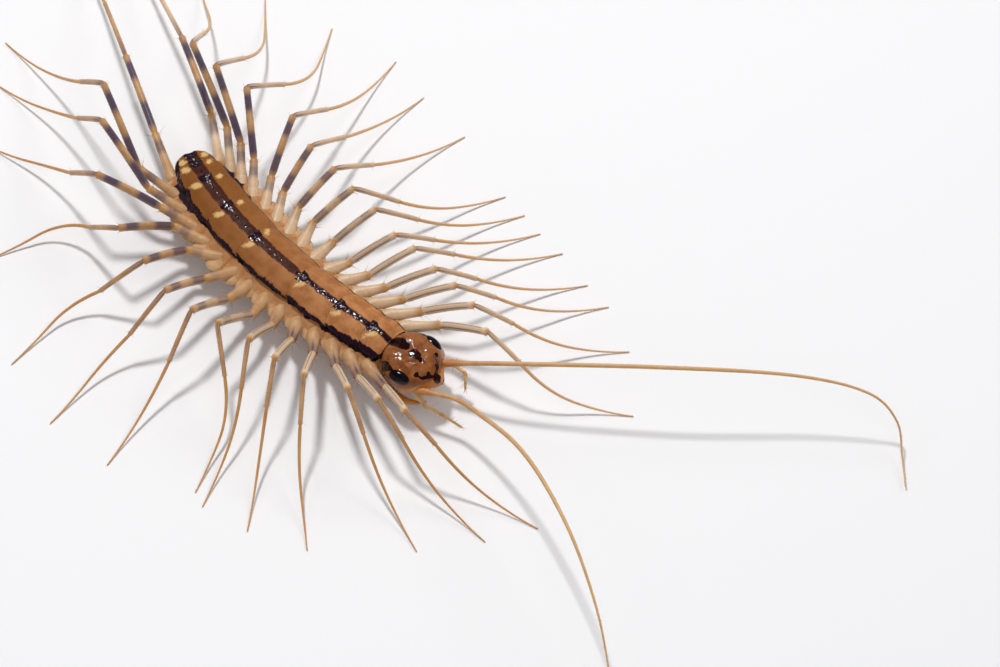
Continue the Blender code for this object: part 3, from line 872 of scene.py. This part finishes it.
def antenna_piece(word, points):
    path = smooth_path(points, 60)
    length = running(path)[-1]
    line = rounded(path, 0.3)
    ring_thirds = [i * RING / 3 for i in range(int(length / RING * 3) - 1)]
    lengths = [-0.2, *ring_thirds, length - 0.06, length - 0.02, length]

    def section(s, turn):
        thick = between(s / length, ANTENNA_AT, ANTENNA_THICK)
        thick *= 1.0 + 0.05 * math.cos(2 * math.pi * s / RING)
        thick *= between(length - s, (0.0, 0.02, 0.06), (0.2, 0.7, 1.0))
        thick *= 1.0 + 0.22 * hump(s, 0.75, 0.35) + 0.12 * hump(s, 1.5, 0.3)
        warm = 0.75 * amount(s - 1.6, 0.8)
        pale = 0.45 * amount(5.0 - s, 3.0)
        return thick, thick, (0.0, warm, pale)

    bm = wrap(line, lengths, 12, section)
    draw = random.Random(word)
    for i in range(ANTENNA_HAIRS):
        s = 1.5 + (length - 2.0) * (i + draw.random()) / ANTENNA_HAIRS
        forward, outward = standing_off(line, s, draw.uniform(0, 2 * math.pi))
        root = line(s) + outward * between(s / length, (0.0, 1.0), (0.19, 0.05))
        bristle(bm, root, outward + forward * 1.2, 0.22, 0.009)
    for i in range(ROOT_SPINES):
        s = 0.35 + 1.2 * (i + draw.random()) / ROOT_SPINES
        forward, outward = standing_off(line, s, draw.uniform(0, 2 * math.pi))
        root = line(s) + outward * 0.18
        bristle(bm, root, outward + forward * 0.6, draw.uniform(0.3, 0.6), 0.014)
    name = "antenna_" + word
    return finish(name + "_rings", bm, [feeler_finish, bristle_finish], [name])


antennae = [antenna_piece("left", ANTENNA_LEFT), antenna_piece("right", ANTENNA_RIGHT)]
report("antennae:", antennae)

# %% Palps
PALP_LEFT = (
    (0.731, -16.054, 2.5),
    (1.731, -16.654, 2.6),
    (1.951, -17.854, 2.5),
    (1.281, -18.554, 1.7),
)
PALP_RIGHT = (
    (-1.819, -16.454, 2.1),
    (-1.969, -17.654, 1.95),
    (-1.469, -19.054, 1.65),
    (-0.919, -20.654, 1.2),
)
PALP_AT = (0.0, 0.25, 0.6, 0.97, 1.0)
PALP_THICK = (0.24, 0.15, 0.12, 0.09, 0.04)
PALP_SPINES = 34
TIP_FORK = 0.35


def palp_piece(word, points):
    points = [Vector(p) for p in points]
    joints = running(points)[1:-1]
    length = running(points)[-1]
    line = rounded(points, 0.12)

    def section(s, turn):
        thick = between(s / length, PALP_AT, PALP_THICK)
        near = min(abs(s - joint) for joint in joints)
        thick *= 1.0 + 0.28 * hump(near, 0.1, 0.12) - 0.12 * hump(near, 0.0, 0.05)
        return thick, thick, (0.0, 0.55 * hump(near, 0.0, 0.2), 0.9)

    bm = wrap(line, [length * i / 90 for i in range(-4, 91)], 16, section)
    draw = random.Random("palp" + word)
    for i in range(PALP_SPINES):
        s = length * (0.25 + 0.75 * (i + draw.random()) / PALP_SPINES)
        forward, outward = standing_off(line, s, -draw.uniform(-0.4, math.pi + 0.4), 0.05, 0.05)
        root = line(s) + outward * 0.08
        bristle(bm, root, outward + forward * 0.5, draw.uniform(0.3, 0.85), 0.014)
    forward, aside = standing_off(line, s, 0.0, 0.05, 0.05)
    for lean in (-TIP_FORK, TIP_FORK):
        bristle(bm, line(length - 0.08), forward + aside * lean, 0.45, 0.03)
    name = "palp_" + word
    return finish(name + "_spined", bm, [feeler_finish, bristle_finish], [name])


palps = [palp_piece("left", PALP_LEFT), palp_piece("right", PALP_RIGHT)]
report("palps:", palps)

# %% [markdown]
# ## Poison claws and mouth
#
# Under the head a pair of strong jointed claws curves forward round the mouth. They are the first
# pair of legs, changed into fangs, amber with dark tips. Between them lie the soft mouth plates.

# %% Poison claws
CLAW = (
    (6.0, 0.7, 2.3),
    (5.0, 1.3, 1.5),
    (3.5, 1.95, 1.35),
    (2.1, 2.0, 1.3),
    (1.0, 1.45, 1.2),
    (0.65, 0.95, 1.15),
)
CLAW_AT = (0.0, 0.3, 0.55, 0.7, 0.85, 1.0)
CLAW_THICK = (0.42, 0.44, 0.36, 0.28, 0.17, 0.03)
CLAW_JOINTS = (0.5, 0.62, 0.72)
CLAW_DARK_FROM = 0.93


def claw_piece(word, side):
    path = smooth_path([body_place(back, side * out, up) for back, out, up in CLAW], 40)
    length = running(path)[-1]
    line = rounded(path, 0.15)

    def section(s, turn):
        share = s / length
        thick = between(share, CLAW_AT, CLAW_THICK)
        near = min(abs(share - joint) * length for joint in CLAW_JOINTS)
        thick *= 1.0 + 0.08 * hump(near, 0.14, 0.08) - 0.14 * hump(near, 0.0, 0.05)
        return thick, thick, (0.8 * amount(CLAW_DARK_FROM - share, 0.05), 0.7, 0.0)

    bm = wrap(line, [length * i / 110 for i in range(111)], 20, section)
    return finish(f"claw_{word}_fang", bm, [head_finish], ["forcipule_" + word])


claws = [claw_piece("left", 1), claw_piece("right", -1)]
report("poison claws:", claws)

# %% Mouth plates
MOUTH_HALF = (0.95, 1.5, 0.6)
MOUTH_BACK = 2.3
MOUTH_UP = 1.75


def mouth_place(co):
    x, y, z = co
    out, back = x * MOUTH_HALF[0], MOUTH_BACK + y * MOUTH_HALF[1]
    below = 1.0 if z < 0 else 0.0
    furrows = 0.12 * hump(out, 0.0, 0.08) + 0.08 * hump(abs(out), 0.5, 0.07) + 0.06 * hump(back, 2.4, 0.08)
    up = MOUTH_UP + z * MOUTH_HALF[2] + below * furrows
    return body_place(back, out, up), (0.0, 0.5, 0.6 * below)


mouth = finish("mouth_plates", ball(5, mouth_place), [head_finish], ["mouthparts"])
report("mouth:", [mouth])

# %% [markdown]
# ## Legs
#
# Fifteen pairs of legs grow longer from front to back. From the body out, a leg has a stout pale
# prefemur, a ridged femur that rises to the knee, a straight tibia and a long whip of a tarsus
# made of dozens of rings, which lies down on the floor. The joints are yellow with small spines,
# and violet-grey bands lie between them, black-blue on the rear legs. One function makes them
# all: the tables below give where each leg's parts point, and the rest follows from its number.

# %% Sizes of the legs
COXA = 0.45
GAP = 0.3
ROOT_SUNK = 0.3
LEG_KEYS = (1, 6, 10, 14)
PREFEMUR = (2.95, 1.95, 2.75, 3.8)
FEMUR = (4.45, 4.0, 4.2, 7.0)
TIBIA = (3.3, 3.75, 4.75, 5.25)
TARSUS = (8.9, 8.5, 8.7, 10.8)
PREFEMUR_RISE = {1: (12, 11, 14, 26), -1: (14, 16, 12, 28)}
FEMUR_RISE = {1: (24, 25, 33, 36), -1: (28, 36, 24, 37)}
TIBIA_FALL = {1: (28, 33, 36, 42), -1: (33, 36, 42, 44)}
FOOT_UP = 0.07
BOW = (0.0, 0.16, 0.06)
BOW_SHARES = (0.25, 0.5, 0.75)
TARSUS_STEPS = 24
TRUNK_WIDTH_AT = (4.2, 8.0, 12.0, 22.0, 26.0, 28.4, 29.4)
TRUNK_WIDTH = (1.3, 1.6, 1.75, 1.8, 1.55, 1.1, 0.35)

# %% Where each leg points, in degrees back from straight out sideways
LEG_TURNS = {
    1: {
        "prefemur": (-46, -41, -38, -35, -31, -22, 1, 23, 29, 36, 37, 47, 50, 54),
        "femur": (-70, -52, -42, -35, -22, -21, -14, -12, -5, 9, 24, 55, 70, 76),
        "tibia": (-78, -53, -40, -35, -27, -24, -31, -34, -3, 9, 8, 3, 18, 39),
        "tarsus": (-50, -39, -29, -29, -26, -23, -22, -20, -7, 3, 16, 36, 50, 62),
    },
    -1: {
        "prefemur": (-78, -66, -58, -48, -38, -29, -24, -5, 17, 50, 64, 66, 66, 68),
        "femur": (-72, -73, -65, -40, -30, -20, -2, -2, 1, 5, 17, 54, 90, 104),
        "tibia": (-100, -86, -71, -43, -37, -38, -58, -17, 6, 34, 86, 90, 94, 96),
        "tarsus": (-107, -93, -76, -55, -40, -26, -26, -17, -10, -8, 16, 74, 82, 90),
    },
}
TRAIL_LENGTHS = (4.6, 7.6, 7.2, 19.0)
TRAIL_TURNS = {1: (58, 68, 70, 74), -1: (112, 112, 114, 108)}
TRAIL_RISE = (4.0, 6.0, -12.0)


# %% The line of a leg
def leg_direction(side, turn, rise):
    """One step of length 1: turn is back from straight out sideways, rise is up from level."""
    turn, rise = math.radians(turn), math.radians(rise)
    return Vector((side * math.cos(turn) * math.cos(rise), math.sin(turn) * math.cos(rise), math.sin(rise)))


def leg_plan(side, place):
    """Lengths, turns and rises of a leg's four parts."""
    if place == PAIRS:
        return TRAIL_LENGTHS, TRAIL_TURNS[side], TRAIL_RISE
    lengths = [between(place, LEG_KEYS, table) for table in (PREFEMUR, FEMUR, TIBIA, TARSUS)]
    turns = [LEG_TURNS[side][part][place - 1] for part in ("prefemur", "femur", "tibia", "tarsus")]
    rises = [between(place, LEG_KEYS, table[side]) for table in (PREFEMUR_RISE, FEMUR_RISE, TIBIA_FALL)]
    return lengths, turns, (rises[0], rises[1], -rises[2])


def leg_points(side, place):
    """Points of a leg's middle line and the length along it of every joint."""
    lengths, turns, rises = leg_plan(side, place)
    at = FIRST_LEG_AT + LEG_STEP * (place - 1)
    trunk_half = between(at, TRUNK_WIDTH_AT, TRUNK_WIDTH)
    outs = (trunk_half - ROOT_SUNK, trunk_half + GAP + COXA)
    points = [body_place(at, side * out, LEG_UP) for out in outs]
    joints = [1]
    for part in range(3):
        step = leg_direction(side, turns[part], rises[part]) * lengths[part]
        for share in BOW_SHARES:
            bowed = Vector((0, 0, BOW[part] * 4 * share * (1 - share)))
            points.append(points[joints[-1]] + step * share + bowed)
        points.append(points[joints[-1]] + step)
        joints.append(len(points) - 1)
    start = points[-1]
    for i in range(1, TARSUS_STEPS + 1):
        along = i / TARSUS_STEPS
        turn = turns[2] + (turns[3] - turns[2]) * min(1.0, 2 * (along - 0.5 / TARSUS_STEPS))
        flat = points[-1] + leg_direction(side, turn, 0.0) * (lengths[3] / TARSUS_STEPS)
        points.append(Vector((flat.x, flat.y, FOOT_UP + (start.z - FOOT_UP) * (1.0 - along) ** 2)))
    run = running(points)
    return points, [run[j] for j in joints], run[-1]


# %% Thickness and markings along a leg
THICK = ((0.43, 0.345), (0.335, 0.295), (0.215, 0.185), (0.14, 0.05))
RIDGES = 5
RIDGE_RISE = 0.035
RING_RISE = 0.05
TARSUS_RING = 0.17
LEG_RING = 0.075
LEG_AROUND = 20
# Pale tone of each leg part. The left legs carry more of it as painted light, and the right legs keep only
# a share of it as painted shade.
LEFT_PALE_WITH_LIGHT = (0.9, 0.95, 0.64, 0.62)
RIGHT_SHADE_SHARE = (0.35, 0.8, 0.2, 0.0)


def leg_section(side, place, joints, length):
    """The section function of one leg."""
    ends = [*joints, length]
    near_front = between(place, (5, 8), (1.0, 0.0)) if side < 0 else 0.0
    rear = between(place, (5, 12), (0.0, 1.0))
    fused = between(place, (6, 9), (1.0, 0.0))
    slim = between(place, (6, 14), (1.0, 0.86))

    def section(s, turn):
        part = max(sum(1 for joint in joints if s > joint) - 1, 0)
        begin, end = ends[part], ends[part + 1]
        share = min(max((s - begin) / (end - begin), 0.0), 1.0)
        from_start, to_end = s - begin, end - s
        low, high = THICK[part]
        thick = (low + (high - low) * share) * (slim if part == 0 else 1.0)
        if part > 0:
            thick *= 1.0 - 0.18 * hump(from_start, 0.0, 0.25)
        if part < 3:
            thick *= 1.0 + 0.05 * hump(to_end, 0.2, 0.16) - 0.16 * hump(to_end, 0.0, 0.07)
            thick *= 1.0 - RIDGE_RISE * math.cos(2 * math.pi * turn * RIDGES)
        else:
            thick *= 1.0 + RING_RISE * math.cos(2 * math.pi * s / TARSUS_RING)
            thick *= between(to_end, (0.0, 0.03, 0.1), (0.15, 0.6, 1.0))
        if part == 0:
            thick *= 1.0 + 0.35 * hump(from_start, 0.1, 1.0) - 0.07 * hump(from_start, 0.9, 0.1)

        ridge = max(-math.cos(2 * math.pi * turn * RIDGES), 0.0) ** 0.7
        upper = max(-math.cos(2 * math.pi * turn), 0.0)
        first = amount(abs(share - 0.22) - 0.17, 0.06)
        second = amount(abs(share - 0.78) - 0.13, 0.06)
        whole = amount(abs(share - 0.50) - 0.40, 0.06)
        lines = 0.16 + 0.5 * ridge
        if part == 1:
            bands = max(first, second, whole * fused)
            dark = bands * (lines * (1 - rear) + rear * (0.64 + 0.2 * upper))
        elif part == 2:
            bands = max(amount(share - 0.3, 0.25), second * 0.5)
            dark = bands * (0.08 + lines + 0.15 * rear)
        elif part == 0:
            dark = rear * 0.55 * amount(abs(share - 0.68) - 0.16, 0.08)
            dark = max(dark, near_front * (0.3 + lines) * amount(0.5 - share, 0.3))
        else:
            dark = 0.12 * amount(share - 0.2, 0.2)
        warm = max(hump(s, joint, 0.2) for joint in joints[1:]) * 0.72
        if part == 3:
            warm = max(warm, 0.5)
        knee = hump(s, joints[2], 0.18) * upper * (0.2 + 0.4 * rear)
        # Painted light and shade: the left legs are painted paler and the right legs darker, on top of the
        # real pale tone.
        pale = LEFT_PALE_WITH_LIGHT[part] * (1.0 if side > 0 else RIGHT_SHADE_SHARE[part])
        if part == 0:
            pale *= (1 - share**3) * between(s, (1.8, 3.2), (0.6, 1.0))
        elif part == 1:
            pale *= 1 - rear
        high_by = 1.0 if part in (0, 3) else 1.12
        return thick * (2 - high_by), thick * high_by, (max(dark, knee), warm, pale)

    return section


# %% Spines of a leg
# Spurs at a joint: which joint, how many, how long. Spinules: which part, how far apart, how long
SPURS = ((1, 8, 0.75), (2, 7, 0.38), (3, 4, 0.34))
SPINULES = ((0, 0.5, 0.14), (1, 0.3, 0.13), (2, 0.28, 0.12))
SPINULE_ROWS = (0.2, 0.4, 0.6, 0.8)
HAIR_ROWS = (0.12, 0.45, 0.55, 0.88)
HAIR_STEP = 0.34


def add_spines(bm, line, joints, length, place, side):
    """Long spurs at the joints, rows of spinules between them and short hairs on the tarsus."""
    draw = random.Random(f"{place}{side}")
    ends = [*joints, length]
    wanted = []
    for joint, count, size in SPURS:
        for i in range(count):
            turn = (i + draw.uniform(0.2, 0.8)) / count
            s = joints[joint] - draw.uniform(0.05, 0.3)
            wanted.append((s, turn, size * draw.uniform(0.5, 1.3), 0.016, 0.7))
    for part, gap, size in SPINULES:
        for i in range(int((ends[part + 1] - ends[part] - 0.5) / gap)):
            s = ends[part] + 0.35 + gap * (i + draw.uniform(0.2, 0.8))
            for row in SPINULE_ROWS:
                wanted.append((s, row + draw.uniform(-0.03, 0.03), size, 0.012, 1.6))
    for i in range(int((length - joints[3]) / HAIR_STEP)):
        for row in HAIR_ROWS:
            s = joints[3] + HAIR_STEP * (i + draw.uniform(0.2, 0.8))
            wanted.append((s, row, 0.13, 0.008, 1.5))
    for s, turn, size, radius, lean in wanted:
        forward = (line(s + 0.05) - line(s - 0.05)).normalized()
        out = forward.cross(Vector((0, 0, 1))).normalized()
        angle = 2 * math.pi * turn
        outward = out * math.sin(angle) - out.cross(forward) * math.cos(angle)
        part = max(sum(1 for joint in joints if s > joint) - 1, 0)
        share = (s - ends[part]) / (ends[part + 1] - ends[part])
        thick = THICK[part][0] + (THICK[part][1] - THICK[part][0]) * share
        root = line(s) + outward * thick * 0.92
        if root.z + (outward.z + forward.z * lean) * size > 0.02:
            bristle(bm, root, outward + forward * lean, size, radius)


# %% All thirty legs
def leg_piece(word, side, place):
    points, joints, length = leg_points(side, place)
    line = rounded(points, 0.24)
    ring_thirds = int((length - joints[3] - 0.1) / TARSUS_RING * 3)
    lengths = [i * LEG_RING for i in range(int(joints[3] / LEG_RING))]
    lengths += [joints[3] + i * TARSUS_RING / 3 for i in range(ring_thirds)]
    lengths += [length - 0.1, length - 0.05, length - 0.02, length]
    bm = wrap(line, lengths, LEG_AROUND, leg_section(side, place, joints, length))
    for vert in bm.verts:
        vert.co.z = max(vert.co.z, 0.0)
    add_spines(bm, line, joints, length, place, side)
    name = f"leg_{word}_{place:02d}"
    return finish("walking_" + name, bm, [leg_finish, bristle_finish], [name])


legs = []
for word, side in (("left", 1), ("right", -1)):
    legs += [leg_piece(word, side, place) for place in range(1, PAIRS + 1)]
report("legs:", legs)

# %% [markdown]
# ## Floor and light
#
# The animal was seen on a pale smooth floor under soft light from above and behind, with a paler
# light all round. A wide disc stands for the floor. One small lamp gives the sharp highlights
# that show how glossy the head is, and wide lamps and pale surroundings fill the shadows.

# %% Floor
FLOOR_RADIUS = 3000.0

floor_mesh = bmesh.new()
bmesh.ops.create_circle(floor_mesh, cap_ends=True, segments=96, radius=FLOOR_RADIUS * MM)
floor_data = bpy.data.meshes.new("floor")
floor_mesh.to_mesh(floor_data)
floor_mesh.free()
floor = add_object("floor", floor_data)
floor_finish = bpy.data.materials.new("pale_floor")
floor_finish.use_nodes = True
floor_shader = floor_finish.node_tree.nodes["Principled BSDF"]
floor_shader.inputs["Base Color"].default_value = (0.83, 0.825, 0.835, 1.0)
floor_shader.inputs["Roughness"].default_value = 0.6
floor_data.materials.append(floor_finish)


# %% Lamps and surroundings
WIDE_LAMP = 100
WARM_WHITE = (1.0, 0.98, 0.96)
COOL_WHITE = (0.96, 0.97, 1.0)
SKY_BELOW = 0.7
SKY_ABOVE = 0.1
SKY_RISE = 0.6
GLOSS_DIMMED = 0.75


def lamp(name, turn, rise, distance, size, watts, colour=(1.0, 1.0, 1.0)):
    """A square lamp that shines at the animal. turn is degrees from straight behind the view.

    Only a small lamp shows in the gloss; a wide one only fills the shadows.
    """
    data = bpy.data.lights.new(name, "AREA")
    data.size = size * MM
    data.energy = watts
    data.color = colour
    lamp_object = add_object(name, data)
    toward = direction_at(CAMERA_TURN + math.radians(180.0 + turn), math.radians(rise))
    lamp_object.location = toward * distance * MM
    lamp_object.rotation_euler = toward.to_track_quat("Z", "Y").to_euler()
    lamp_object.visible_glossy = size < WIDE_LAMP
    return lamp_object


lamp("key_lamp", 20, 67, 420, 45, 1.1)
lamp("left_lamp", 100, 50, 450, 200, 0.2, WARM_WHITE)
lamp("right_lamp", -52, 42, 450, 200, 0.6, WARM_WHITE)
lamp("front_lamp", 200, 50, 480, 300, 0.5, COOL_WHITE)
world = bpy.data.worlds.new("surroundings")
world.use_nodes = True
world.node_tree.nodes["Background"].inputs["Color"].default_value = (0.93, 0.94, 0.97, 1.0)
toward_sky = add_node(world, "ShaderNodeTexCoord").outputs["Generated"]
height = add_node(world, "ShaderNodeSeparateXYZ", None, {"Vector": toward_sky}).outputs["Z"]
in_gloss = add_node(world, "ShaderNodeLightPath").outputs["Is Glossy Ray"]
dimmed = combined(world, 1.0, combined(world, in_gloss, GLOSS_DIMMED, "MULTIPLY"), "SUBTRACT")
paling = ramp(world, height, 0.0, SKY_RISE, SKY_BELOW, SKY_ABOVE)
strength = combined(world, paling, dimmed, "MULTIPLY")
world.node_tree.links.new(strength, world.node_tree.nodes["Background"].inputs["Strength"])
bpy.context.scene.world = world
bpy.context.scene.view_settings.view_transform = "Standard"
print("lamps:", len(bpy.data.lights))
